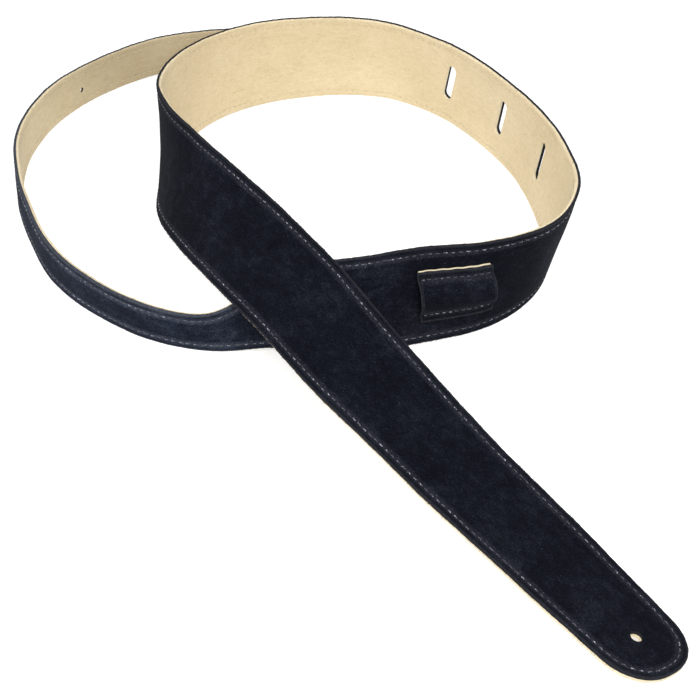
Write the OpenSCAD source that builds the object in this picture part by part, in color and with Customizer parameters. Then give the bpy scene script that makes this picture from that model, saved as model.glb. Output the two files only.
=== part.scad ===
// Two-ply suede guitar strap, looped over itself and standing on its lower edge.
// Units are millimetres, +Z is up and the strap stands on Z = 0.
// The strap is a ribbon swept along a route: s runs along it from the rounded head end to the tail's tip,
// v runs across it from the lower edge to the upper edge, and h stands out of its face,
// with h = 0 at the glue line between the two leathers.

/* [Strap] */
// Width of the shoulder part
strap_w = 51; // [49:0.5:53]
// Width where the rounded head end begins
head_w = 45; // [42:0.5:47]
// Width of the narrow tail
tail_w = 22.5; // [20:0.5:24]
// Thickness of each of the two leathers
ply_t = 1.5; // [1.2:0.1:1.6]

/* [Adjustment] */
// Length of each slot, across the strap
slot_l = 24; // [21:0.5:26]
// Width of each slot, along the strap
slot_w = 6.5; // [5:0.5:7]
// Distance from the head end's tip to the first slot
slot_first = 665; // [652:0.5:672]
// Distance between neighbouring slots
slot_pitch = 47; // [40:0.5:48]
// Length of the keeper loop, along the strap
keeper_l = 38; // [32:1:44]
// Height of the keeper loop, across the strap
keeper_h = 27; // [27:1:32]
// How far the middle of the keeper loop stands off the strap
keeper_rise = 4.5; // [3:0.5:6]
// Thickness of each of the keeper's two leathers
keeper_t = 1.2; // [1:0.1:1.5]

/* [Button holes] */
// Diameter of the button hole in the head end
head_hole_d = 5.5; // [5:0.5:7]
// Distance from the head end's tip to its button hole
head_hole_in = 21.5; // [18:0.5:24]
// Length of the slit that lets the strap button through
slit_l = 14; // [10:1:16]
// Diameter of the punched holes in the tail
tail_hole_d = 3.5; // [3:0.5:5]
// Distance from the tail's tip to its last hole
tail_hole_in = 14; // [12:1:18]

/* [Stitching] */
// Distance from the edge to the row of stitches
stitch_in = 3.5; // [3:0.5:4]
// Width of the thread as it lies on the leather
thread_w = 0.8; // [0.6:0.1:1]
// Height of the thread above the leather
thread_h = 0.4; // [0.3:0.1:0.5]

/* [Hidden] */

// The route: x, y, lift of the lower edge off the floor, and roll.
// Roll 0 stands the strap upright, 90 lays it flat with its suede face up.
ROUTE = [
  [159, -242, 10, 106], [131, -207, 13, 100], [104, -174, 16, 94], [76, -140, 20, 90],   // rounded head end
  [50, -108, 25, 84], [24, -74, 28, 75], [0, -40, 31, 66], [-24, -6, 30, 58],            // climbs over the crossing
  [-46, 28, 25, 46], [-64, 62, 17, 30], [-75, 98, 9, 9], [-77, 136, 3, -6],              // comes down on its edge
  [-62, 172, 1, -11], [-32, 196, 0, -10], [8, 206, 0, -5], [48, 202, 0, 0],               // left turn and back wall
  [82, 180, 0, 0], [106, 150, 0, -2], [125, 115, 0, -6], [136, 78, 0, -12],              // wall with the slots
  [139, 41, 0, -13], [125, 8, 0, -9], [96, -12, 0, 5], [62, -20, 0, 17],                 // right turn, keeper
  [28, -28, 0, 16], [-7, -30, 1, 9], [-42, -33, 0, 0], [-75, -24, 0, -2],                // shoulder under the crossing
  [-105, -3, 0, 0], [-130, 25, 0, 2], [-146, 60, 0, 4], [-158, 98, 0, 2],                // tail
  [-160, 137, 0, -6], [-148, 176, 0, -10], [-122, 209, 0, -10], [-88, 232, 0, -10],
  [-46, 242, 0, -8], [-6, 240, 0, -5]];
// Moves the route so that the origin is under the middle of the box, and how far the leaning edges are kept off the floor.
SHIFT = [-2.4, 1.4];
FLOOR = 0.08;
LAST = len(ROUTE) - 1;

// Where the strap flexes, measured from the head end's tip, and the gap left there.
FLEX_HEAD = 190;
FLEX_TAIL = 1036;
FLEX_TAIL_END = 1218;
TAIL_TIP = 1440;
TAIL_HOLE = 1317;
KEEPER_AT = 902;
GAP = 0.9;
// Thread and keeper lie this far above the leather's facets.
LIE = 0.05;
STEP = 12;

function unit(a) = a / norm(a);
function knot(i) = i < 0 ? 2 * ROUTE[0] - ROUTE[1] : i > LAST ? 2 * ROUTE[LAST] - ROUTE[LAST - 1] : ROUTE[i];
function curve(a, b, c, d, t) = 0.5 * (2 * b + (c - a) * t + (2 * a - 5 * b + 4 * c - d) * t * t + (3 * b - a - 3 * c + d) * t * t * t);
function along(u) = let (k = max(0, min(floor(u), LAST - 1))) curve(knot(k - 1), knot(k), knot(k + 1), knot(k + 2), u - k);
// The head end widens evenly, and the shoulder narrows to the tail in a smooth S.
function width(u) = u < 7 ? head_w + (strap_w - head_w) * u / 7
                  : u < 24 ? strap_w
                  : u < 26.3 ? strap_w + (tail_w - strap_w) * (1 - cos(180 * (u - 24) / 2.3)) / 2
                  : tail_w;
function middle(u) = let (q = along(u)) [q[0] + SHIFT[0], q[1] + SHIFT[1], q[2] + FLOOR + width(u) / 2 * cos(q[3]) + ply_t * abs(sin(q[3]))];
// Length along the route against the route's own numbering.
LENGTHS = [for (i = 0, s = 0; i <= 8 * LAST; s = s + norm(middle((i + 1) / 8) - middle(i / 8)), i = i + 1) [s, i / 8]];
function at(s) = lookup(s, LENGTHS);
// Middle, along, across and outward directions at s.
function frame(s) = let (u = at(s), r = along(u)[3], t = unit(middle(u + 0.01) - middle(u - 0.01)),
                         side = unit(cross(t, [0, 0, 1])), up = cross(side, t), w = cos(r) * up + sin(r) * side)
                    [middle(u), t, w, cross(w, t)];
function spot(s, v, h) = let (f = frame(s)) f[0] + v * f[2] + h * f[3];

// Half width of the leather and of the stitch row at s, with both ends rounded.
// BLUNT is 2 for a true half circle and more for a squarer one.
BLUNT = 2.3;
function ease(x) = x >= 1 ? 1 : x <= 0 ? 0 : pow(1 - pow(1 - x, BLUNT), 1 / BLUNT);
function half(s) = width(at(s)) / 2 * ease(s / (head_w / 2)) * ease((TAIL_TIP - s) / (tail_w / 2));
function seam(s) = max(0.3 * half(s), (width(at(s)) / 2 - stitch_in) * ease((s - stitch_in) / (head_w / 2 - stitch_in)) * ease((TAIL_TIP - s - stitch_in) / (tail_w / 2 - stitch_in)));

// Stations along a plain length, and the extra ones that round an end of radius r.
function stations(a, b) = let (n = ceil((b - a) / STEP)) [for (i = [0:n]) a + (b - a) * i / n];
// The same stations, with the first and last moved in.
function inset(l, a, b) = [for (i = [0:len(l) - 1]) l[i] + (i == 0 ? a : i == len(l) - 1 ? -b : 0)];
function round_off(r) = [for (a = [5, 14, 26, 40, 56, 74]) r * (1 - cos(a))];

// Closed solid through rings that all have the same number of points. Each ring runs out along one side and back along the other,
// and both sides are split along the same diagonals, so that neighbouring leathers meet face to face.
module loft(rings) {
  k = len(rings[0]);
  n = len(rings);
  polyhedron(points = [for (r = rings) each r],
    faces = concat([[for (j = [0:k - 1]) j]],
      [for (i = [0:n - 2], j = [0:k - 1]) let (a = i * k + j, b = i * k + (j + 1) % k) j < k / 2 ? [a, a + k, b + k] : [a, a + k, b]],
      [for (i = [0:n - 2], j = [0:k - 1]) let (a = i * k + j, b = i * k + (j + 1) % k) j < k / 2 ? [a, b + k, b] : [b, a + k, b + k]],
      [[for (j = [k - 1:-1:0]) (n - 1) * k + j]]), convexity = 10);
}
// One leather between the heights h0 and h1, through the stations ss.
module leather(ss, h0, h1) loft([for (s = ss) let (f = frame(s), e = half(s), m = seam(s))
  [for (p = [[-e, h0], [-e, h1], [-m, h1], [m, h1], [e, h1], [e, h0], [m, h0], [-m, h0]]) f[0] + p[0] * f[2] + p[1] * f[3]]]);
// Thread along a path of [s, v, direction across the thread in s, and in v], between the heights h0 and h1.
module thread(path, h0, h1) loft([for (p = path)
  [for (q = [[-1, h0], [-1, h1], [1, h1], [1, h0]]) spot(p[0] + q[0] * p[2] * thread_w / 2, p[1] + q[0] * p[3] * thread_w / 2, q[1])]]);
function row(ss, side) = [for (s = ss) [s, side * seam(s), 0, 1]];
// Stitch path round an end: out along the lower row, round the arc and back along the upper row.
function turned(ss, tip, dir, r) = concat([for (i = [len(ss) - 1:-1:0]) [ss[i], -seam(ss[i]), 0, -dir]],
  [for (a = [-72:18:72]) [tip + dir * (r - (r - stitch_in) * pow(cos(a), 2 / BLUNT)), (r - stitch_in) * sign(a) * pow(abs(sin(a)), 2 / BLUNT), -cos(a), dir * sin(a)]],
  [for (s = ss) [s, seam(s), 0, dir]]);
// Puts children at s, with X across the strap, Y along it and Z out of its face.
module place(s) {
  f = frame(s);
  multmatrix([[f[2][0], f[1][0], f[3][0], f[0][0]], [f[2][1], f[1][1], f[3][1], f[0][1]], [f[2][2], f[1][2], f[3][2], f[0][2]], [0, 0, 0, 1]]) children();
}
module hole(s, d, v = 0) place(s) translate([v, 0, 0]) cylinder(d = d, h = 6 * ply_t, center = true, $fn = 48);
module slot(s, turn) place(s) translate([SLOT_UP, 0, 0]) rotate([0, 0, turn]) {
  cube([slot_l - slot_w, slot_w, 8 * ply_t], center = true);
  for (x = [-1, 1]) translate([x * (slot_l - slot_w) / 2, 0, 0]) cylinder(d = slot_w, h = 8 * ply_t, center = true, $fn = 24);
}
module slit() place(head_hole_in + head_hole_d / 2 + slit_l / 2 - 0.5) cube([0.5, slit_l, 6 * ply_t], center = true);

HEAD_S = concat(round_off(head_w / 2), stations(head_w / 2, FLEX_HEAD - GAP));
BODY_S = stations(FLEX_HEAD + GAP, FLEX_TAIL - GAP);
BODY_ROW = inset(BODY_S, 0.6, 0.6);
TAIL_S = stations(FLEX_TAIL + GAP, FLEX_TAIL_END - GAP);
TAIL_ROW = inset(TAIL_S, 0.6, 0.6);
END_R = tail_w / 2;
END_S = concat(stations(FLEX_TAIL_END + GAP, TAIL_TIP - END_R), [for (i = [5:-1:0]) TAIL_TIP - round_off(END_R)[i]]);
HEAD_ROW = inset(stations(head_w / 2, FLEX_HEAD - GAP), 0, 0.6);
END_ROW = inset(stations(FLEX_TAIL_END + GAP, TAIL_TIP - END_R), 0.6, 0);
function backwards(l) = [for (i = [len(l) - 1:-1:0]) l[i]];

SUEDE = [0.11, 0.12, 0.16];
BUFF = [0.86, 0.77, 0.60];
GREY = [0.42, 0.44, 0.50];
CREAM = [0.80, 0.72, 0.56];

module head_cut() { hole(head_hole_in, head_hole_d); slit(); }
module head_face() color(SUEDE) difference() { leather(HEAD_S, 0, ply_t); head_cut(); }
module head_backing() color(BUFF) difference() { leather(HEAD_S, -ply_t, 0); head_cut(); }
module head_needle_thread() color(GREY) thread(turned(HEAD_ROW, 0, 1, head_w / 2), ply_t + LIE, ply_t + thread_h);
module head_bobbin_thread() color(CREAM) thread(turned(HEAD_ROW, 0, 1, head_w / 2), -ply_t - thread_h, -ply_t - LIE);

// The slots were cut by hand, each at a slightly different slant.
SLANT = [11, 10, 0];
SLOT_UP = 1.5;
module slots() for (i = [0:2]) slot(slot_first + i * slot_pitch, SLANT[i]);
module body_face() color(SUEDE) difference() { leather(BODY_S, 0, ply_t); slots(); }
module body_backing() color(BUFF) difference() { leather(BODY_S, -ply_t, 0); slots(); }
module body_needle_thread() color(GREY) for (k = [-1, 1]) thread(row(BODY_ROW, k), ply_t + LIE, ply_t + thread_h);
module body_bobbin_thread() color(CREAM) for (k = [-1, 1]) thread(row(BODY_ROW, k), -ply_t - thread_h, -ply_t - LIE);

module tail_face() color(SUEDE) leather(TAIL_S, 0, ply_t);
module tail_backing() color(BUFF) leather(TAIL_S, -ply_t, 0);
module tail_needle_thread() color(GREY) for (k = [-1, 1]) thread(row(TAIL_ROW, k), ply_t + LIE, ply_t + thread_h);
module tail_bobbin_thread() color(CREAM) for (k = [-1, 1]) thread(row(TAIL_ROW, k), -ply_t - thread_h, -ply_t - LIE);

module end_holes() { hole(TAIL_HOLE, tail_hole_d, -2); hole(TAIL_TIP - tail_hole_in, tail_hole_d); }
module tail_end_face() color(SUEDE) difference() { leather(END_S, 0, ply_t); end_holes(); }
module tail_end_backing() color(BUFF) difference() { leather(END_S, -ply_t, 0); end_holes(); }
module tail_end_needle_thread() color(GREY) thread(turned(backwards(END_ROW), TAIL_TIP, -1, END_R), ply_t + LIE, ply_t + thread_h);
module tail_end_bobbin_thread() color(CREAM) thread(turned(backwards(END_ROW), TAIL_TIP, -1, END_R), -ply_t - thread_h, -ply_t - LIE);

// The keeper lies flat along its two stitched edges and stands off the strap between them.
KEEPER_FLAT = 0.66;
KEEPER_V = [-1, -KEEPER_FLAT, -0.47, -0.18, 0.18, 0.47, KEEPER_FLAT, 1];
function rise(k) = let (x = max(0, 1 - abs(k) / KEEPER_FLAT)) keeper_rise * (1 - (1 - x) * (1 - x) * (1 - x));
module keeper_ply(lo, hi) loft([for (s = [for (i = [0:4]) KEEPER_AT - keeper_l / 2 + keeper_l * i / 4]) let (f = frame(s))
  concat([for (k = KEEPER_V) f[0] + k * keeper_h / 2 * f[2] + (hi + rise(k)) * f[3]],
         [for (i = [7:-1:0]) let (k = KEEPER_V[i]) f[0] + k * keeper_h / 2 * f[2] + (lo + rise(k)) * f[3]])]);
module keeper_lining() color(BUFF) keeper_ply(ply_t + LIE, ply_t + keeper_t);
module keeper_face() color(SUEDE) keeper_ply(ply_t + keeper_t, ply_t + 2 * keeper_t);
module keeper_thread() color(GREY) for (k = [-1, 1])
  thread([for (i = [0:4]) [KEEPER_AT - keeper_l / 2 + 1 + (keeper_l - 2) * i / 4, k * (keeper_h / 2 - 4), 0, 1]], ply_t + 2 * keeper_t + LIE, ply_t + 2 * keeper_t + thread_h);

head_face();
head_backing();
head_needle_thread();
head_bobbin_thread();
body_face();
body_backing();
body_needle_thread();
body_bobbin_thread();
tail_face();
tail_backing();
tail_needle_thread();
tail_bobbin_thread();
tail_end_face();
tail_end_backing();
tail_end_needle_thread();
tail_end_bobbin_thread();
keeper_face();
keeper_lining();
keeper_thread();
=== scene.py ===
import math

import bpy
import numpy as np
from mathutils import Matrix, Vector


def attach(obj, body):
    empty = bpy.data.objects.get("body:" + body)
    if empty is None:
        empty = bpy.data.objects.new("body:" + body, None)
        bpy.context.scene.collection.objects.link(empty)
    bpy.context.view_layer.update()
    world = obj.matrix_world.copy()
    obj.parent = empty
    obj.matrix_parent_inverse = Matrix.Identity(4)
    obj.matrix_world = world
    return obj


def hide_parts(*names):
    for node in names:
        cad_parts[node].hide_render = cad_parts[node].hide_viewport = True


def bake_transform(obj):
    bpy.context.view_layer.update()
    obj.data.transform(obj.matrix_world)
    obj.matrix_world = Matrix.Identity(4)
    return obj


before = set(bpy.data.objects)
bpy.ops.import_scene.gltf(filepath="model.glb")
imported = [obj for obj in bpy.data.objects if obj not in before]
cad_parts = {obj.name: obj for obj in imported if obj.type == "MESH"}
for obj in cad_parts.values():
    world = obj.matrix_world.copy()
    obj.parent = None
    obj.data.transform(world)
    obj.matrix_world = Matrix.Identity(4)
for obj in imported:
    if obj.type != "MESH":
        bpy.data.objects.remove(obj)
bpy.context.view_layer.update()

MM = 0.001

# ---------------------------------------------------------------- the route, as in part.scad (millimetres)
ROUTE = np.array([
    [159, -242, 10, 106], [131, -207, 13, 100], [104, -174, 16, 94], [76, -140, 20, 90],
    [50, -108, 25, 84], [24, -74, 28, 75], [0, -40, 31, 66], [-24, -6, 30, 58],
    [-46, 28, 25, 46], [-64, 62, 17, 30], [-75, 98, 9, 9], [-77, 136, 3, -6],
    [-62, 172, 1, -11], [-32, 196, 0, -10], [8, 206, 0, -5], [48, 202, 0, 0],
    [82, 180, 0, 0], [106, 150, 0, -2], [125, 115, 0, -6], [136, 78, 0, -12],
    [139, 41, 0, -13], [125, 8, 0, -9], [96, -12, 0, 5], [62, -20, 0, 17],
    [28, -28, 0, 16], [-7, -30, 1, 9], [-42, -33, 0, 0], [-75, -24, 0, -2],
    [-105, -3, 0, 0], [-130, 25, 0, 2], [-146, 60, 0, 4], [-158, 98, 0, 2],
    [-160, 137, 0, -6], [-148, 176, 0, -10], [-122, 209, 0, -10], [-88, 232, 0, -10],
    [-46, 242, 0, -8], [-6, 240, 0, -5]], float)
SHIFT = np.array([-2.4, 1.4])
FLOOR = 0.08
STRAP_W, HEAD_W, TAIL_W, PLY = 51.0, 45.0, 22.5, 1.5
FLEX_HEAD, FLEX_TAIL, FLEX_TAIL_END, TAIL_TIP = 190.0, 1036.0, 1218.0, 1440.0
TAIL_HOLE, KEEPER_AT, KEEPER_L, KEEPER_H, KEEPER_RISE, KEEPER_T, KEEPER_FLAT = 1317.0, 902.0, 38.0, 27.0, 4.5, 1.2, 0.66
HEAD_HOLE_IN, HEAD_HOLE_D, SLIT_L, TAIL_HOLE_D, TAIL_HOLE_IN = 21.5, 5.5, 14.0, 3.5, 14.0
SLOT_L, SLOT_W, SLOT_FIRST, SLOT_PITCH = 24.0, 6.5, 665.0, 47.0
SLANT, SLOT_UP = (11, 10, 0), 1.5
STITCH_IN, PITCH, BLUNT = 3.5, 3.85, 2.3
LAST = len(ROUTE) - 1
KNOTS = np.vstack([2 * ROUTE[0] - ROUTE[1], ROUTE, 2 * ROUTE[-1] - ROUTE[-2]])


def along(u):
    u = np.atleast_1d(np.asarray(u, float))
    k = np.clip(np.floor(u), 0, LAST - 1).astype(int)
    t = (u - k)[:, None]
    a, b, c, d = KNOTS[k], KNOTS[k + 1], KNOTS[k + 2], KNOTS[np.minimum(k + 3, LAST + 2)]
    return 0.5 * (2 * b + (c - a) * t + (2 * a - 5 * b + 4 * c - d) * t ** 2 + (3 * b - a - 3 * c + d) * t ** 3)


def width(u):
    u = np.atleast_1d(np.asarray(u, float))
    w = np.where(u < 7, HEAD_W + (STRAP_W - HEAD_W) * u / 7, STRAP_W)
    t = np.clip((u - 24) / 2.3, 0, 1)
    return np.where(u < 24, w, STRAP_W + (TAIL_W - STRAP_W) * (1 - np.cos(np.pi * t)) / 2)


def middle(u):
    q = along(u)
    r = np.radians(q[:, 3])
    z = q[:, 2] + FLOOR + width(u) / 2 * np.cos(r) + PLY * np.abs(np.sin(r))
    return np.column_stack([q[:, 0] + SHIFT[0], q[:, 1] + SHIFT[1], z])


US = np.arange(8 * LAST + 1) / 8
_P = middle(US)
LENGTHS = np.concatenate([[0], np.cumsum(np.linalg.norm(np.diff(_P, axis=0), axis=1))])


def at(s):
    return np.interp(s, LENGTHS, US)


def unit(a):
    return a / np.linalg.norm(a, axis=-1, keepdims=True)


def frames(s):
    """Middle, along, across and outward directions at each s."""
    u = at(np.atleast_1d(np.asarray(s, float)))
    r = np.radians(along(u)[:, 3])[:, None]
    t = unit(middle(u + 0.01) - middle(u - 0.01))
    side = unit(np.cross(t, [0, 0, 1.0]))
    up = np.cross(side, t)
    w = np.cos(r) * up + np.sin(r) * side
    return middle(u), t, w, np.cross(w, t)


def ease(x):
    x = np.clip(x, 0, 1)
    return (1 - (1 - x) ** BLUNT) ** (1 / BLUNT)


def half(s):
    return width(at(s)) / 2 * ease(s / (HEAD_W / 2)) * ease((TAIL_TIP - s) / (TAIL_W / 2))


# ---------------------------------------------------------------- how real leather departs from the plain ribbon
def hills(s, v, seed=0.0):
    """A slow, smooth, repeatable unevenness between -1 and 1."""
    return (np.sin(s * 0.043 + 1.3 + seed) * np.sin(v * 0.062 + 0.4 + s * 0.011 + seed)
            + 0.6 * np.sin(s * 0.091 + v * 0.07 + 2.1 * seed + 0.7)
            + 0.35 * np.sin(s * 0.173 - v * 0.13 + 4.0 + seed)) / 1.95


def blunt_radius(x, y):
    return (np.abs(x) ** BLUNT + np.abs(y) ** BLUNT) ** (1 / BLUNT)


def edge_distance(s, v):
    """Distance in from the strap's outline, with both ends round."""
    s, v = np.broadcast_arrays(np.asarray(s, float), np.asarray(v, float))
    shape = s.shape
    h = (width(at(s.ravel())) / 2).reshape(shape)
    d = h - np.abs(v)
    r = HEAD_W / 2
    d = np.where(s < r, np.minimum(d, r - blunt_radius(r - s, v)), d)
    r = TAIL_W / 2
    k = s - (TAIL_TIP - r)
    return np.where(k > 0, np.minimum(d, r - blunt_radius(k, v)), d)


def relief(s, v, deep=1.0):
    """How far a leather's free surface stands proud of the plain one: pulled in along the stitches, a little full elsewhere."""
    d = edge_distance(s, v)
    groove = -0.34 * deep * np.exp(-((d - STITCH_IN) / 0.75) ** 2)
    crease = -0.10 * deep * np.exp(-((d - 5.1) / 0.45) ** 2)
    full = 0.16 * np.clip((d - STITCH_IN) / 5, 0, 1) + 0.05 * np.exp(-((d - 1.7) / 0.9) ** 2)
    return groove + crease + full + 0.10 * hills(s * 3.1, np.asarray(v) * 3.3, 2.0)


def wave(s, v):
    """The whole strap's slow ripple, shared by both leathers; it dies down at the head hole and the keeper."""
    s = np.asarray(s, float)
    calm = np.ones_like(s)
    for a, b in ((KEEPER_AT, 40), (HEAD_HOLE_IN, 25)):
        calm = calm * (1 - 0.8 * np.exp(-((s - a) / b) ** 2))
    return 0.45 * calm * hills(s, v)


def sway(s, side):
    """The cut edge wanders a little."""
    return 0.12 * np.sin(s * 0.083 + side) + 0.06 * np.sin(s * 0.37 + 2.2 * side) + 0.05 * np.sin(s * 1.13 + 0.5 * side) + 0.05 * np.sin(s * 2.3 + 1.7 * side)


def spots(s, v, h):
    c, t, w, n = frames(s)
    h = np.asarray(h, float) + wave(s, v)
    return c + np.asarray(v)[:, None] * w + h[:, None] * n


# ---------------------------------------------------------------- meshes
def make(name, verts, faces, material, uv=None, sharp=40):
    me = bpy.data.meshes.new(name)
    me.from_pydata([tuple(p) for p in np.asarray(verts) * MM], [], faces)
    me.validate()
    if uv is not None:
        for lname, data in uv.items():
            layer = me.uv_layers.new(name=lname)
            idx = np.zeros(len(me.loops), int)
            me.loops.foreach_get("vertex_index", idx)
            layer.data.foreach_set("uv", np.asarray(data, np.float32)[idx].ravel())
    for p in me.polygons:
        p.use_smooth = True
    me.set_sharp_from_angle(angle=math.radians(sharp))
    ob = bpy.data.objects.new(name, me)
    bpy.context.scene.collection.objects.link(ob)
    me.materials.append(material)
    return ob


EDGE_IN = [0.0, 0.14, 0.45, 0.9, 1.5, 2.1, 2.6, 3.0, 3.3, 3.6, 3.9, 4.3, 4.9, 5.5, 6.2]
EDGE_DROP = [0.50, 0.16, 0.0]


def columns(hw, inner):
    """Places across one ring, from -hw to hw, close together near the edges."""
    k = min(1.0, hw / 8.5)
    d = np.array(EDGE_IN) * k
    a = hw - d[-1]
    mid = np.linspace(-a, a, inner + 2)[1:-1]
    return np.concatenate([-(hw - d), mid, (hw - d)[::-1]])


def ring_places(s0, s1, step):
    n = max(1, int(math.ceil((s1 - s0) / step)))
    ss = list(np.linspace(s0, s1, n + 1))
    if s0 <= 0.05:
        r = HEAD_W / 2
        ss = [r * (1 - math.cos(math.radians(a))) for a in list(np.arange(2.5, 90, 2.5))] + [x for x in ss if x > r]
    if s1 >= TAIL_TIP - 0.05:
        r = TAIL_W / 2
        ss = [x for x in ss if x < TAIL_TIP - r] + [TAIL_TIP - r * (1 - math.cos(math.radians(a))) for a in list(np.arange(90, 3, -4))]
    return np.array(ss)


def leather(name, s0, s1, outer, inner_h, material, step=1.5, inner=18):
    """One leather of the strap, closed, between the glue line and its free surface."""
    up = 1.0 if outer > inner_h else -1.0
    ss = ring_places(s0, s1, step)
    rings, uvs, uve = [], [], []
    for s in ss:
        hw = float(half(s)[0] if np.ndim(half(s)) else half(s))
        v = columns(hw, inner)
        k = min(1.0, hw / 8.5)
        h = np.full(len(v), outer)
        for i, drop in enumerate(EDGE_DROP):
            h[i] -= up * drop * k
            h[-1 - i] -= up * drop * k
        h = h + up * relief(np.full(len(v), s), v, 1.0 if up > 0 else 0.15) * k
        edge = np.clip(1 - (hw - np.abs(v)) / 2.0, 0, 1)
        proud = np.where(v > 0, 0.28, 0.08) if up > 0 else np.where(v > 0, -0.15, 0.0)
        v = v + np.sign(v) * edge * (sway(s, np.where(v > 0, 1.0, 4.0)) + proud) * k
        vb = np.linspace(v[-1], v[0], 9)
        hb = np.full(9, inner_h)
        vv, hh = np.concatenate([v, vb]), np.concatenate([h, hb])
        rings.append(spots(np.full(len(vv), s), vv, hh))
        uvs.append(np.column_stack([np.full(len(vv), s), vv]) * MM)
        uve.append(np.column_stack([np.full(len(vv), s), edge_distance(np.full(len(vv), s), vv)]) * MM)
    k, n = len(rings[0]), len(rings)
    verts = np.vstack(rings)
    faces = []
    for i in range(n - 1):
        for j in range(k):
            a, b = i * k + j, i * k + (j + 1) % k
            faces.append((a, b, b + k, a + k) if up > 0 else (a, a + k, b + k, b))
    caps = [list(range(k)), [(n - 1) * k + j for j in range(k)]]
    # each cap is a strip between the free surface and the glue line
    top = len(rings[0]) - 9
    for c, flip in ((0, up > 0), (n - 1, up < 0)):
        o = c * k
        ring_top = list(range(o, o + top))
        ring_bot = [o + k - 1 - j for j in range(9)]
        i = j = 0
        while i < top - 1 or j < 8:
            if j >= 8 or (i < top - 1 and (i + 1) / (top - 1) <= (j + 1) / 8):
                f = (ring_top[i], ring_top[i + 1], ring_bot[j])
                i += 1
            else:
                f = (ring_top[i], ring_bot[j + 1], ring_bot[j])
                j += 1
            faces.append(f[::-1] if flip else f)
    ob = make(name, verts, faces, material, {"strap": np.vstack(uvs), "edge": np.vstack(uve)})
    fix_normals(ob)
    return ob


def fix_normals(ob):
    import bmesh
    bm = bmesh.new()
    bm.from_mesh(ob.data)
    bmesh.ops.recalc_face_normals(bm, faces=bm.faces)
    bm.to_mesh(ob.data)
    bm.free()


def cut(ob, cutters):
    """Cuts closed shapes out of a piece and applies the result."""
    for c in cutters:
        m = ob.modifiers.new("cut", "BOOLEAN")
        m.operation, m.solver, m.object = "DIFFERENCE", "EXACT", c
    dg = bpy.context.evaluated_depsgraph_get()
    me = bpy.data.meshes.new_from_object(ob.evaluated_get(dg), depsgraph=dg)
    ob.modifiers.clear()
    old = ob.data
    ob.data = me
    me.name = ob.name
    bpy.data.meshes.remove(old)
    for p in me.polygons:
        p.use_smooth = True
    me.set_sharp_from_angle(angle=math.radians(40))


def cutter(s, outline, depth=9.0, wobble=0.0):
    """A closed prism through the strap at s, with its outline in (across, along)."""
    c, t, w, n = frames([s])
    k = len(outline)
    pts = []
    for h in (-depth / 2, depth / 2):
        for i, (x, y) in enumerate(outline):
            pts.append(c[0] + x * w[0] + y * t[0] + h * n[0])
    faces = [tuple(range(k))[::-1], tuple(range(k, 2 * k))] + [(i, (i + 1) % k, k + (i + 1) % k, k + i) for i in range(k)]
    me = bpy.data.meshes.new("cutter")
    me.from_pydata([tuple(p * MM) for p in pts], [], faces)
    ob = bpy.data.objects.new("cutter", me)
    bpy.context.scene.collection.objects.link(ob)
    fix_normals(ob)
    ob.hide_render = True
    return ob


def turned(outline, angle, v=0.0):
    c, s = math.cos(math.radians(angle)), math.sin(math.radians(angle))
    return [(v + x * c - y * s, x * s + y * c) for x, y in outline]


def stadium(length, breadth, n=8):
    a, r = (length - breadth) / 2, breadth / 2
    return [(a + r * math.cos(math.radians(x)), r * math.sin(math.radians(x))) for x in np.linspace(-90, 90, n)] + \
           [(-a + r * math.cos(math.radians(x)), r * math.sin(math.radians(x))) for x in np.linspace(90, 270, n)]


def circle(d, n=28, v=0.0):
    return [(v + d / 2 * math.cos(2 * math.pi * i / n), d / 2 * math.sin(2 * math.pi * i / n)) for i in range(n)]


# ---------------------------------------------------------------- stitches
def seam_path():
    """The stitch line as (s, v) points, once round the whole strap."""
    rows = np.arange(HEAD_W / 2, TAIL_TIP - TAIL_W / 2 + 0.01, 1.0)
    hw = half(rows) - STITCH_IN
    ra, rb = HEAD_W / 2 - STITCH_IN, TAIL_W / 2 - STITCH_IN
    a = np.radians(np.arange(-88, 89, 2.0))
    ca, sa = np.cos(a) ** (2 / BLUNT), np.sign(a) * np.abs(np.sin(a)) ** (2 / BLUNT)
    tail = np.column_stack([TAIL_TIP - TAIL_W / 2 + rb * ca, rb * sa])
    head = np.column_stack([HEAD_W / 2 - ra * ca, -ra * sa])
    return np.vstack([np.column_stack([rows, -hw]), tail, np.column_stack([rows[::-1], hw[::-1]]), head])


def stitch_places(path, pitch=PITCH, gap=1.0, closed=True):
    """Start, end and heading of each stitch, as (s, v)."""
    p = np.vstack([path, path[:1]]) if closed else path
    l = np.concatenate([[0], np.cumsum(np.linalg.norm(np.diff(p, axis=0), axis=1))])
    n = int(round(l[-1] / pitch))
    k = np.arange(n)
    step = l[-1] / n
    out = []
    for f in np.linspace(0, 1, 6):
        x = k * step + gap / 2 + f * (step - gap)
        out.append(np.column_stack([np.interp(x, l, p[:, 0]), np.interp(x, l, p[:, 1])]))
    return np.array(out).transpose(1, 0, 2)


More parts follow.
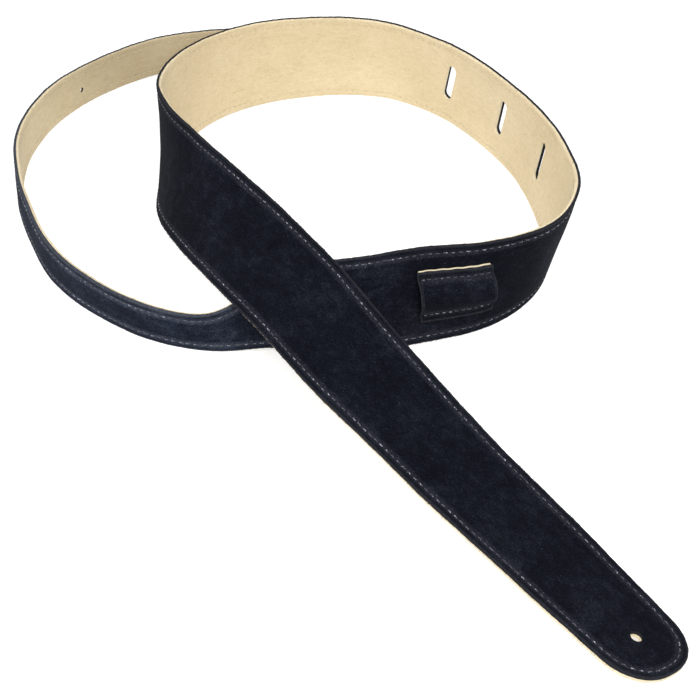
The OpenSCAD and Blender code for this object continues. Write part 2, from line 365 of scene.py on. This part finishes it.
def thread_mesh(name, stitches, lift, material, radius=0.25, up=1.0, seed=1, extra=None):
    """Each stitch is a short closed bead of thread that dives into the leather at both ends."""
    if not len(stitches):
        return None
    rng = np.random.default_rng(seed)
    verts, faces, uvs = [], [], []
    sides = 7
    n, m, _ = stitches.shape
    prof = np.array([-0.42, 0.02, 0.26, 0.30, 0.06, -0.42])
    rad = np.array([0.62, 0.92, 1.0, 1.02, 0.95, 0.62]) * radius
    flat_s, flat_v = stitches[:, :, 0].ravel(), stitches[:, :, 1].ravel()
    jitter = rng.normal(0, 0.07, (n, 1)) * np.ones((1, m)) + rng.normal(0, 0.05, (n, 1)) * np.linspace(-1, 1, m)
    heading = np.gradient(stitches, axis=1)
    heading /= np.linalg.norm(heading, axis=2, keepdims=True)
    across = np.stack([-heading[:, :, 1], heading[:, :, 0]], axis=2)
    pos = stitches + across * jitter[:, :, None]
    flat_s, flat_v = pos[:, :, 0].ravel(), pos[:, :, 1].ravel()
    c, t, w, nn = frames(flat_s)
    ground = lift(flat_s, flat_v) + wave(flat_s, flat_v)
    tall = np.tile(prof, n) * np.repeat(1 + rng.normal(0, 0.12, n), m)
    ac = across.reshape(-1, 2)
    ad = ac[:, :1] * t + ac[:, 1:] * w
    base = c + flat_v[:, None] * w
    for j in range(sides):
        a = 2 * math.pi * j / sides
        r = np.tile(rad, n)
        q = base + (r * math.cos(a))[:, None] * ad + (up * (np.abs(ground) * 1.0) * 0 + ground + up * (tall + r * 0.85 * math.sin(a)))[:, None] * nn
        verts.append(q)
    V = np.stack(verts, axis=1)  # (n*m, sides, 3)
    V = V.reshape(n, m * sides, 3)
    U = np.stack([np.column_stack([np.tile(np.linspace(0, 3.3, m), n) * MM + np.repeat(np.arange(n), m) * 0.01,
                                   np.full(n * m, j / sides * 2.5) * MM]) for j in range(sides)], axis=1).reshape(-1, 2)
    for i in range(n):
        o = i * m * sides
        for a in range(m - 1):
            for b in range(sides):
                b2 = (b + 1) % sides
                faces.append((o + a * sides + b, o + a * sides + b2, o + (a + 1) * sides + b2, o + (a + 1) * sides + b))
        faces.append(tuple(o + b for b in range(sides))[::-1])
        faces.append(tuple(o + (m - 1) * sides + b for b in range(sides)))
    ob = make(name, V.reshape(-1, 3), faces, material, {"strap": U}, sharp=60)
    fix_normals(ob)
    return ob


# ---------------------------------------------------------------- loose fibres at the cut edges
def fibres(name, s0, s1, count, material, h0, h1, seed, length=(0.35, 1.15), out=1.0):
    rng = np.random.default_rng(seed)
    s = rng.uniform(s0, s1, count)
    side = rng.choice([-1.0, 1.0], count)
    hw = half(s)
    keep = hw > 2.0
    s, side, hw = s[keep], side[keep], hw[keep]
    k = len(s)
    v = side * (hw - rng.uniform(0.0, 0.35, k) + np.array([sway(a, 1.0 if b > 0 else 4.0) for a, b in zip(s, side)]) * np.minimum(1, hw / 8.5))
    h = rng.uniform(h0, h1, k)
    c, t, w, n = frames(s)
    # away from the outline, which turns towards the tip at the rounded ends
    ds = 0.4
    slope = (half(np.clip(s + ds, 0.1, TAIL_TIP - 0.1)) - half(np.clip(s - ds, 0.1, TAIL_TIP - 0.1))) / (2 * ds)
    outdir = unit(side[:, None] * w - slope[:, None] * t)
    root = c + v[:, None] * w + (h + wave(s, v))[:, None] * n
    d = unit(outdir * rng.uniform(0.5, 1.2, k)[:, None] * out + t * rng.normal(0, 0.7, k)[:, None] + n * rng.normal(0, 0.55, k)[:, None])
    L = rng.uniform(*length, k) * rng.choice([0.6, 1.0, 1.5], k, p=[0.5, 0.4, 0.1])
    bend = unit(rng.normal(0, 1, (k, 3)))
    r = rng.uniform(0.05, 0.09, k)
    e1 = unit(np.cross(d, [0.3, 0.5, 0.8]))
    e2 = np.cross(d, e1)
    verts, faces = [], []
    root = root - d * 0.12
    mid = root + d * (L * 0.55)[:, None]
    tip = root + d * L[:, None] + bend * (L * 0.25)[:, None]
    P = []
    for a in range(3):
        o = math.cos(2.0944 * a) * e1 + math.sin(2.0944 * a) * e2
        P.append(root + o * r[:, None])
    for a in range(3):
        o = math.cos(2.0944 * a) * e1 + math.sin(2.0944 * a) * e2
        P.append(mid + o * (r * 0.75)[:, None])
    P.append(tip)
    V = np.stack(P, axis=1)
    V[:, :, 2] = np.maximum(V[:, :, 2], 0.03)
    for i in range(k):
        o = i * 7
        faces.append((o + 2, o + 1, o))
        for a in range(3):
            b = (a + 1) % 3
            faces.append((o + a, o + b, o + 3 + b, o + 3 + a))
            faces.append((o + 3 + a, o + 3 + b, o + 6))
    ob = make(name, V.reshape(-1, 3), faces, material, sharp=180)
    fix_normals(ob)
    return ob


# ---------------------------------------------------------------- materials
def nodes_of(name):
    m = bpy.data.materials.new(name)
    m.use_nodes = True
    nt = m.node_tree
    return m, nt, nt.nodes["Principled BSDF"]


def add(nt, kind, **k):
    n = nt.nodes.new(kind)
    for a, b in k.items():
        setattr(n, a, b)
    return n


def math_node(nt, op, a, b=None, c=None, clamp=False):
    n = nt.nodes.new("ShaderNodeMath")
    n.operation, n.use_clamp = op, clamp
    for i, x in enumerate((a, b, c)):
        if x is None:
            continue
        if isinstance(x, (int, float)):
            n.inputs[i].default_value = x
        else:
            nt.links.new(x, n.inputs[i])
    return n.outputs[0]


def noise(nt, vector, scale, detail=3.0, rough=0.55, stretch=None, distortion=0.0):
    if stretch is not None:
        mp = add(nt, "ShaderNodeMapping")
        mp.inputs["Scale"].default_value = stretch
        nt.links.new(vector, mp.inputs["Vector"])
        vector = mp.outputs[0]
    n = add(nt, "ShaderNodeTexNoise")
    n.inputs["Scale"].default_value = scale
    n.inputs["Detail"].default_value = detail
    n.inputs["Roughness"].default_value = rough
    n.inputs["Distortion"].default_value = distortion
    nt.links.new(vector, n.inputs["Vector"])
    return n.outputs["Fac"]


def ramp(nt, fac, stops):
    r = add(nt, "ShaderNodeValToRGB")
    while len(r.color_ramp.elements) < len(stops):
        r.color_ramp.elements.new(0.5)
    for e, (p, c) in zip(r.color_ramp.elements, stops):
        e.position = p
        e.color = (*c, 1) if len(c) == 3 else c
    nt.links.new(fac, r.inputs["Fac"])
    return r.outputs["Color"]


def mix(nt, fac, a, b, kind="MIX"):
    n = add(nt, "ShaderNodeMix", data_type="RGBA", blend_type=kind)
    for sock, x in ((n.inputs["Factor"], fac), (n.inputs[6], a), (n.inputs[7], b)):
        if isinstance(x, (int, float)):
            sock.default_value = x
        elif isinstance(x, tuple):
            sock.default_value = (*x, 1)
        else:
            nt.links.new(x, sock)
    return n.outputs[2]


def bump(nt, height, distance, strength=1.0, normal=None):
    b = add(nt, "ShaderNodeBump")
    b.inputs["Distance"].default_value = distance
    b.inputs["Strength"].default_value = strength
    nt.links.new(height, b.inputs["Height"])
    if normal is not None:
        nt.links.new(normal, b.inputs["Normal"])
    return b.outputs[0]


def band(nt, x, centre, half_width):
    """1 at the centre of a band, falling to 0 at its sides."""
    d = math_node(nt, "ABSOLUTE", math_node(nt, "SUBTRACT", x, centre))
    return math_node(nt, "SUBTRACT", 1.0, math_node(nt, "DIVIDE", d, half_width), clamp=True)


def coordinates(nt):
    uv = add(nt, "ShaderNodeUVMap", uv_map="strap")
    ue = add(nt, "ShaderNodeUVMap", uv_map="edge")
    sep = add(nt, "ShaderNodeSeparateXYZ")
    nt.links.new(ue.outputs[0], sep.inputs[0])
    obj = add(nt, "ShaderNodeTexCoord").outputs["Object"]
    return uv.outputs[0], sep.outputs[0], sep.outputs[1], obj


def black_suede():
    m, nt, p = nodes_of("black_suede")
    uv, s, d, obj = coordinates(nt)
    patches = noise(nt, uv, 34, 5, 0.7)
    strokes = noise(nt, uv, 150, 4, 0.65, stretch=(1.0, 1.8, 1.0), distortion=0.6)
    nap = noise(nt, obj, 1500, 3, 0.7)
    fine = noise(nt, obj, 3600, 2, 0.6)
    tone = math_node(nt, "ADD", math_node(nt, "MULTIPLY", patches, 0.55), math_node(nt, "MULTIPLY", strokes, 0.45))
    base = ramp(nt, tone, [(0.34, (0.0014, 0.0020, 0.0038)), (0.50, (0.0034, 0.0043, 0.0075)), (0.66, (0.0092, 0.0108, 0.0160))])
    grains = ramp(nt, nap, [(0.36, (0.35, 0.35, 0.38)), (0.54, (1.0, 1.0, 1.0)), (0.72, (2.8, 2.8, 2.9))])
    col = mix(nt, 1.0, base, grains, "MULTIPLY")
    # scuffed nap beside the stitches and along the crease just inside them
    scuff = math_node(nt, "MAXIMUM", band(nt, d, 0.0035, 0.0011), math_node(nt, "MULTIPLY", band(nt, d, 0.0051, 0.0006), 0.9))
    haze = math_node(nt, "MULTIPLY", band(nt, d, 0.0038, 0.0024), noise(nt, obj, 520, 3, 0.7))
    col = mix(nt, math_node(nt, "MULTIPLY", haze, 0.55), col, (0.040, 0.042, 0.056))
    speck = noise(nt, obj, 1250, 3, 0.75)
    specks = math_node(nt, "MULTIPLY", scuff, math_node(nt, "GREATER_THAN", speck, 0.625))
    col = mix(nt, math_node(nt, "MULTIPLY", specks, 0.55), col, (0.19, 0.195, 0.225))
    # the very edge is a little paler where the nap is worn
    rim = math_node(nt, "SUBTRACT", 1.0, math_node(nt, "DIVIDE", d, 0.0012), clamp=True)
    worn = math_node(nt, "MULTIPLY", rim, noise(nt, obj, 700, 3, 0.7))
    col = mix(nt, math_node(nt, "MULTIPLY", worn, 0.55), col, (0.055, 0.055, 0.062))
    # stray pale lint
    lint = math_node(nt, "GREATER_THAN", noise(nt, obj, 760, 2, 0.6), 0.735)
    col = mix(nt, math_node(nt, "MULTIPLY", lint, 0.22), col, (0.10, 0.11, 0.14))
    # the narrow part is painted paler and bluer: painted light, standing in for the light and sheen its left-front face
    # catches
    pale = math_node(nt, "DIVIDE", math_node(nt, "SUBTRACT", s, 0.93), 0.09, clamp=True)
    painted_light_narrow = math_node(nt, "MULTIPLY", pale, math_node(nt, "LESS_THAN", s, 2.0))
    col = mix(nt, math_node(nt, "MULTIPLY", painted_light_narrow, 0.9), col, mix(nt, 1.0, col, (2.6, 2.8, 2.85), "MULTIPLY"))
    nt.links.new(col, p.inputs["Base Color"])
    p.inputs["Roughness"].default_value = 0.93
    p.inputs["Specular IOR Level"].default_value = 0.05
    p.inputs["Sheen Weight"].default_value = 0.022
    p.inputs["Sheen Roughness"].default_value = 0.45
    p.inputs["Sheen Tint"].default_value = (0.62, 0.68, 0.85, 1)
    n1 = bump(nt, strokes, 0.0006, 0.5)
    n2 = bump(nt, nap, 0.00028, 0.8, n1)
    n3 = bump(nt, fine, 0.00012, 0.6, n2)
    nt.links.new(n3, p.inputs["Normal"])
    return m


def tan_leather():
    m, nt, p = nodes_of("tan_leather")
    uv, s, d, obj = coordinates(nt)
    patches = noise(nt, uv, 26, 4, 0.6)
    fibre = noise(nt, uv, 420, 4, 0.65, stretch=(0.5, 1.4, 1.0), distortion=0.8)
    nap = noise(nt, obj, 1300, 3, 0.7)
    base = ramp(nt, patches, [(0.28, (0.520, 0.424, 0.262)), (0.50, (0.555, 0.458, 0.292)), (0.74, (0.595, 0.500, 0.330))])
    mottle = ramp(nt, fibre, [(0.30, (0.91, 0.895, 0.87)), (0.52, (1, 1, 1)), (0.75, (1.04, 1.045, 1.06))])
    col = mix(nt, 1.0, base, mottle, "MULTIPLY")
    grains = ramp(nt, nap, [(0.30, (0.86, 0.85, 0.83)), (0.55, (1, 1, 1)), (0.75, (1.06, 1.06, 1.07))])
    col = mix(nt, 0.8, col, grains, "MULTIPLY")
    rim = math_node(nt, "SUBTRACT", 1.0, math_node(nt, "DIVIDE", d, 0.0006), clamp=True)
    col = mix(nt, math_node(nt, "MULTIPLY", rim, 0.55), col, (0.74, 0.66, 0.48))
    # the tail end is painted darker and a little browner: painted shade, standing in for the shadow of the wide loop's
    # wall falling on it
    painted_shade_tail_end = math_node(nt, "DIVIDE", math_node(nt, "SUBTRACT", s, 1.280), 0.055, clamp=True)
    painted_shade_tail_end = math_node(nt, "MULTIPLY", painted_shade_tail_end, math_node(nt, "LESS_THAN", s, 2.0))
    col = mix(nt, painted_shade_tail_end, col, mix(nt, 1.0, col, (0.70, 0.68, 0.65), "MULTIPLY"))
    dark = math_node(nt, "GREATER_THAN", noise(nt, obj, 300, 2, 0.6), 0.72)
    col = mix(nt, math_node(nt, "MULTIPLY", dark, 0.25), col, (0.36, 0.26, 0.15))
    nt.links.new(col, p.inputs["Base Color"])
    p.inputs["Roughness"].default_value = 0.88
    p.inputs["Specular IOR Level"].default_value = 0.2
    p.inputs["Sheen Weight"].default_value = 0.12
    p.inputs["Sheen Roughness"].default_value = 0.5
    p.inputs["Sheen Tint"].default_value = (1.0, 0.93, 0.8, 1)
    n1 = bump(nt, fibre, 0.0003, 0.6)
    n2 = bump(nt, nap, 0.0002, 0.7, n1)
    nt.links.new(n2, p.inputs["Normal"])
    return m


def thread(name, dark, light, rough):
    m, nt, p = nodes_of(name)
    uv = add(nt, "ShaderNodeUVMap", uv_map="strap").outputs[0]
    obj = add(nt, "ShaderNodeTexCoord").outputs["Object"]
    w = add(nt, "ShaderNodeTexWave", wave_type="BANDS", bands_direction="DIAGONAL")
    w.inputs["Scale"].default_value = 420
    w.inputs["Distortion"].default_value = 0.6
    nt.links.new(uv, w.inputs["Vector"])
    fuzz = noise(nt, obj, 2400, 2, 0.6)
    # painted glints: stitches picked out by this noise take the light colour, standing in for the specular glints on
    # the thread's crests
    each = noise(nt, obj, 640, 2, 0.5)
    painted_glint = math_node(nt, "MULTIPLY", math_node(nt, "SUBTRACT", each, 0.50), 7.0, clamp=True)
    fac = math_node(nt, "MULTIPLY", w.outputs["Fac"], painted_glint)
    col = ramp(nt, fac, [(0.15, dark), (0.85, light)])
    col = mix(nt, math_node(nt, "MULTIPLY", fuzz, 0.13), col, tuple(0.5 * (a + b) for a, b in zip(dark, light)))
    nt.links.new(col, p.inputs["Base Color"])
    p.inputs["Roughness"].default_value = rough
    p.inputs["Specular IOR Level"].default_value = 0.55
    p.inputs["Sheen Weight"].default_value = 0.1
    nt.links.new(bump(nt, w.outputs["Fac"], 0.00012, 0.8), p.inputs["Normal"])
    return m


def plain_fibre(name, a, b):
    m, nt, p = nodes_of(name)
    obj = add(nt, "ShaderNodeTexCoord").outputs["Object"]
    nt.links.new(ramp(nt, noise(nt, obj, 700, 2, 0.6), [(0.35, a), (0.65, b)]), p.inputs["Base Color"])
    p.inputs["Roughness"].default_value = 0.9
    p.inputs["Specular IOR Level"].default_value = 0.2
    return m


SUEDE = black_suede()
TAN = tan_leather()
# the light colour of each thread is the colour of its painted glints
GREY = thread("grey_thread", (0.012, 0.013, 0.018), (0.50, 0.51, 0.58), 0.4)
CREAM = thread("cream_thread", (0.52, 0.43, 0.28), (0.74, 0.66, 0.48), 0.55)
DARK_FIBRE = plain_fibre("black_suede_fibre", (0.008, 0.009, 0.014), (0.035, 0.036, 0.045))
TAN_FIBRE = plain_fibre("tan_leather_fibre", (0.45, 0.34, 0.20), (0.66, 0.54, 0.36))

# ---------------------------------------------------------------- the strap, in lengths: those between the three flex lines ride on the four bodies, those across them stay unattached
REACH = 8.0
STEP = 1.5
LENGTHWISE = [
    ("head", 0.0, FLEX_HEAD - REACH, ("head_end",)),
    ("flex_head", FLEX_HEAD - REACH, FLEX_HEAD + REACH, ("head_end", "body", FLEX_HEAD)),
    ("body", FLEX_HEAD + REACH, SLOT_FIRST - 20, ("body",)),
    ("body_slots", SLOT_FIRST - 20, SLOT_FIRST + 2 * SLOT_PITCH + 20, ("body",)),
    ("body_front", SLOT_FIRST + 2 * SLOT_PITCH + 20, FLEX_TAIL - REACH, ("body",)),
    ("flex_tail", FLEX_TAIL - REACH, FLEX_TAIL + REACH, ("body", "tail", FLEX_TAIL)),
    ("tail", FLEX_TAIL + REACH, FLEX_TAIL_END - REACH, ("tail",)),
    ("flex_tail_end", FLEX_TAIL_END - REACH, FLEX_TAIL_END + REACH, ("tail", "tail_end", FLEX_TAIL_END)),
    ("tail_end", FLEX_TAIL_END + REACH, TAIL_TIP, ("tail_end",)),
]
PLACES = stitch_places(seam_path())


def settle(ob, how):
    if ob is None:
        return
    if len(how) == 1:
        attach(ob, how[0])
    else:
        c, t, w, n = frames([how[2]])
        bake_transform(ob)


def face_ground(s, v):
    return PLY + relief(s, v)


def back_ground(s, v):
    return -(PLY + relief(s, v, 0.15))


cuts = {
    "head": [cutter(HEAD_HOLE_IN, circle(HEAD_HOLE_D)), cutter(HEAD_HOLE_IN + HEAD_HOLE_D / 2 + SLIT_L / 2 - 0.5, [(-0.22, -SLIT_L / 2), (0.22, -SLIT_L / 2), (0.16, SLIT_L / 2), (-0.16, SLIT_L / 2)])],
    "body_slots": [cutter(SLOT_FIRST + i * SLOT_PITCH, turned(stadium(SLOT_L, SLOT_W), SLANT[i], SLOT_UP), 16.0) for i in range(3)],
    "tail_end": [cutter(TAIL_HOLE, circle(TAIL_HOLE_D, v=-2.0)), cutter(TAIL_TIP - TAIL_HOLE_IN, circle(TAIL_HOLE_D))],
}
REPLACED = {"head": ["head"], "body": ["body"], "tail": ["tail"], "tail_end": ["tail_end"]}
for i, (name, s0, s1, how) in enumerate(LENGTHWISE):
    inner = 18 if s1 < 1000 else 10
    face = leather(name + "_suede", s0, s1, PLY, 0.0, SUEDE, STEP, inner)
    back = leather(name + "_backing_leather", s0, s1, -PLY, 0.0, TAN, STEP, inner)
    for c in cuts.get(name, []):
        cut(face, [c])
        cut(back, [c])
    sm = PLACES[:, 2:4, 0].mean(axis=1)
    mine = PLACES[(sm >= s0) & (sm < s1)]
    top = thread_mesh(name + "_needle_stitches", mine, face_ground, GREY, up=1.0, seed=11 + i)
    low = thread_mesh(name + "_bobbin_stitches", mine, back_ground, CREAM, radius=0.20, up=-1.0, seed=31 + i)
    per = 26
    nap = fibres(name + "_suede_fibres", s0 + 0.2, s1 - 0.2, int((s1 - s0) * per), DARK_FIBRE, 0.15, PLY - 0.1, 51 + i)
    fluff = fibres(name + "_backing_fibres", s0 + 0.2, s1 - 0.2, int((s1 - s0) * per * 0.5), TAN_FIBRE, -PLY + 0.1, -0.1, 71 + i, length=(0.2, 0.6))
    settle(face, how)
    settle(back, how)
    settle(top, how)
    settle(low, how)
    settle(nap, how)
    settle(fluff, how)
    if name in REPLACED:
        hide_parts(name + "_face")
        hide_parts(name + "_backing")
        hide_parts(name + "_needle_thread")
        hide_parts(name + "_bobbin_thread")
for cs in cuts.values():
    for c in cs:
        bpy.data.objects.remove(c)


# ---------------------------------------------------------------- the keeper
def rise(k):
    x = np.maximum(0, 1 - np.abs(k) / KEEPER_FLAT)
    return KEEPER_RISE * (1 - (1 - x) ** 3)


def keeper_ply(name, lo, hi, material, grow=0.0, short=0.0, top_round=0.35):
    ss = np.linspace(KEEPER_AT - KEEPER_L / 2 + short, KEEPER_AT + KEEPER_L / 2 - short, 40)
    kk = np.concatenate([[-1, -0.99, -0.965], np.linspace(-0.93, 0.93, 45), [0.965, 0.99, 1]])
    rings, uvs, uve = [], [], []
    for i, s in enumerate(ss):
        e = min(i, len(ss) - 1 - i)
        endfall = {0: 0.45, 1: 0.0}.get(e, 0.0) * 0.6
        fall = np.zeros(len(kk))
        fall[[0, -1]], fall[[1, -2]] = 0.42, 0.12
        droop = 0.10 * np.sin(s * 0.4 + kk * 3)
        flare = 0.5 * (abs(s - KEEPER_AT) / (KEEPER_L / 2)) ** 4 * (rise(kk) / KEEPER_RISE)
        v = kk * (KEEPER_H / 2 + grow) + np.sign(kk) * (np.abs(kk) > 0.98) * 0.12 * np.sin(s * 0.9 + kk)
        d = (KEEPER_H / 2) - np.abs(v)
        seam = -0.22 * np.exp(-((d - 4.0) / 0.6) ** 2) if material is SUEDE else 0.0
        h_hi = hi + rise(kk) + droop + flare - fall * top_round / 0.35 - endfall + seam
        h_lo = lo + rise(kk) + droop * 0.6 + flare
        h_lo = np.minimum(h_lo, h_hi - 0.2)
        vv, hh = np.concatenate([v, v[::-1]]), np.concatenate([h_hi, h_lo[::-1]])
        c, t, w, n = frames([s])
        hh = hh + wave(np.full(len(vv), s), vv)
        rings.append(c + vv[:, None] * w + hh[:, None] * n)
        uvs.append(np.column_stack([np.full(len(vv), s + 3000), vv]) * MM)
        de, ds = np.maximum(KEEPER_H / 2 - np.abs(vv) - 0.5, 0.0), min(s - ss[0], ss[-1] - s)
        uve.append(np.column_stack([np.full(len(vv), s), np.minimum(de, ds if ds < 1.0 else 9.0)]) * MM)
    k, n_ = len(rings[0]), len(rings)
    faces = [(i * k + j, i * k + (j + 1) % k, (i + 1) * k + (j + 1) % k, (i + 1) * k + j) for i in range(n_ - 1) for j in range(k)]
    m = len(kk)
    for o in (0, (n_ - 1) * k):
        faces += [(o + j, o + j + 1, o + k - 2 - j, o + k - 1 - j) for j in range(m - 1)]
    ob = make(name, np.vstack(rings), faces, material, {"strap": np.vstack(uvs), "edge": np.vstack(uve)})
    fix_normals(ob)
    return ob


kf = keeper_ply("keeper_suede", PLY + KEEPER_T, PLY + 2 * KEEPER_T, SUEDE)
kl = keeper_ply("keeper_lining_leather", PLY + 0.05, PLY + KEEPER_T, TAN, grow=0.25, short=0.9, top_round=0.1)
rows = []
for sgn in (-1, 1):
    x = np.linspace(KEEPER_AT - KEEPER_L / 2 + 1.0, KEEPER_AT + KEEPER_L / 2 - 1.0, 40)
    rows.append(stitch_places(np.column_stack([x, np.full(len(x), sgn * (KEEPER_H / 2 - 4.0))]), pitch=3.4, closed=False))
kt = thread_mesh("keeper_stitches", np.concatenate(rows), lambda s, v: PLY + 2 * KEEPER_T - 0.15 + rise(np.asarray(v) / (KEEPER_H / 2)), GREY, seed=91)
for ob, slot_, node_ in ((kf, "black_suede", "keeper_face"), (kl, "tan_leather", "keeper_lining"), (kt, "grey_thread", "keeper_thread")):
    settle(ob, ("body",))
    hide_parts(node_)

# ---------------------------------------------------------------- floor, light and camera
floor_mat, nt, p = nodes_of("pale_floor")
p.inputs["Base Color"].default_value = (0.55, 0.55, 0.55, 1)
p.inputs["Roughness"].default_value = 0.9
p.inputs["Emission Color"].default_value = (1, 1, 1, 1)
p.inputs["Emission Strength"].default_value = 0.62
me = bpy.data.meshes.new("floor")
R = 6.0
me.from_pydata([(-R, -R, -0.0002), (R, -R, -0.0002), (R, R, -0.0002), (-R, R, -0.0002)], [], [(0, 1, 2, 3)])
floor = bpy.data.objects.new("floor", me)
me.materials.append(floor_mat)
bpy.context.scene.collection.objects.link(floor)

world = bpy.data.worlds.new("studio")
bpy.context.scene.world = world
world.use_nodes = True
world.node_tree.nodes["Background"].inputs[0].default_value = (1, 1, 1, 1)
world.node_tree.nodes["Background"].inputs[1].default_value = 0.42


def area(name, loc, size, power, target=(0, 0, 0.02)):
    l = bpy.data.lights.new(name, "AREA")
    l.shape, l.size, l.energy = "SQUARE", size, power
    o = bpy.data.objects.new(name, l)
    o.location = loc
    o.rotation_euler = (Vector(target) - Vector(loc)).to_track_quat("-Z", "Y").to_euler()
    bpy.context.scene.collection.objects.link(o)
    return o


area("key", (0.35, -0.95, 1.15), 0.7, 20.0)
area("fill", (-0.95, -0.25, 1.0), 1.0, 12.0)
area("top", (0.1, -0.1, 1.7), 1.3, 8.0)

cam = bpy.data.cameras.new("camera")
cam.sensor_width = 36.0
cam.lens = 1700.0 / 700.0 * 36.0
cam.clip_start, cam.clip_end = 0.01, 50
co = bpy.data.objects.new("camera", cam)
co.location = ((27.0 + SHIFT[0]) * MM, (-33.0 + SHIFT[1] - 857.5 * math.cos(math.radians(41))) * MM, 857.5 * math.sin(math.radians(41)) * MM)
co.rotation_euler = (math.radians(90 - 41), 0, 0)
bpy.context.scene.collection.objects.link(co)
bpy.context.scene.camera = co
bpy.context.scene.view_settings.view_transform = "Standard"
